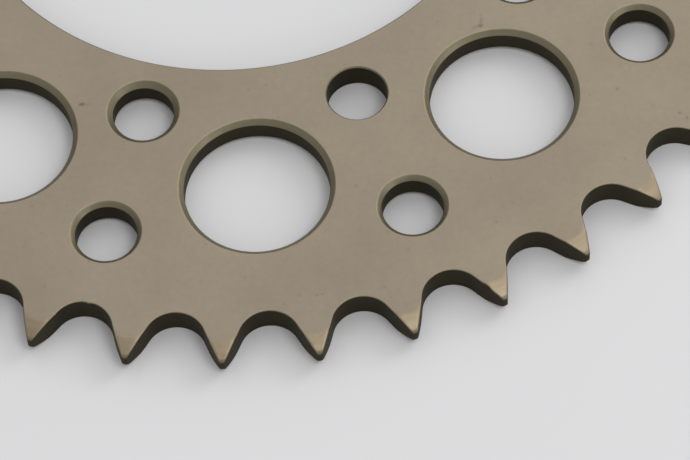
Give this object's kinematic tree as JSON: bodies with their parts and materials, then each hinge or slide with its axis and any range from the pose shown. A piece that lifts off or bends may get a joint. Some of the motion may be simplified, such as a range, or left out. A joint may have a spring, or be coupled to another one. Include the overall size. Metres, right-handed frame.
{
  "type": "chain sprocket",
  "caption": "Flat rear sprocket for a 520 motorcycle chain, with a centre bore, a ring of bolt holes and round lightening windows.",
  "frame": {"origin": "on the axis of the centre bore, at the middle of the plate's thickness", "axes": "+Z along the bore's axis, square to the plate; -Y points at a tooth gap and at the window in line with it"},
  "size_m": [0.2146, 0.2143, 0.0052],
  "materials": {
    "anodised_plate": "matt hard anodised, warm khaki grey"
  },
  "bodies": {
    "root": {"sprocket": "anodised_plate"}
  },
  "joints": []
}
